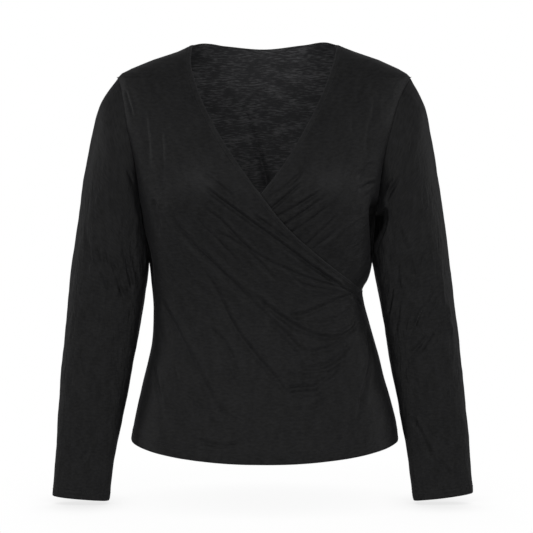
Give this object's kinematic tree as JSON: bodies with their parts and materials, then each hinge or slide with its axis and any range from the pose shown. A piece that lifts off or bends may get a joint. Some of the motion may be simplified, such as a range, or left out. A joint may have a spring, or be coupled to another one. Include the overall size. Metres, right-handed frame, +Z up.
{
  "type": "wrap top",
  "caption": "Long-sleeved wrap top in soft black jersey, filled out as if worn, with a deep crossed V neck, folds drawn to the side seam at the waist and a flared hem.",
  "frame": {"origin": "midway between the two neck points, where the shoulder seams meet the neck edge", "axes": "+Z up, -Y towards the front, +X towards the wearer's left"},
  "size_m": [0.6325, 0.2487, 0.6844],
  "materials": {
    "jersey": "soft matt viscose jersey, with a faint slub and a low sheen"
  },
  "bodies": {
    "root": {"right_front": "jersey", "left_front": "jersey", "back": "jersey", "right_sleeve": "jersey", "left_sleeve": "jersey"}
  },
  "joints": []
}
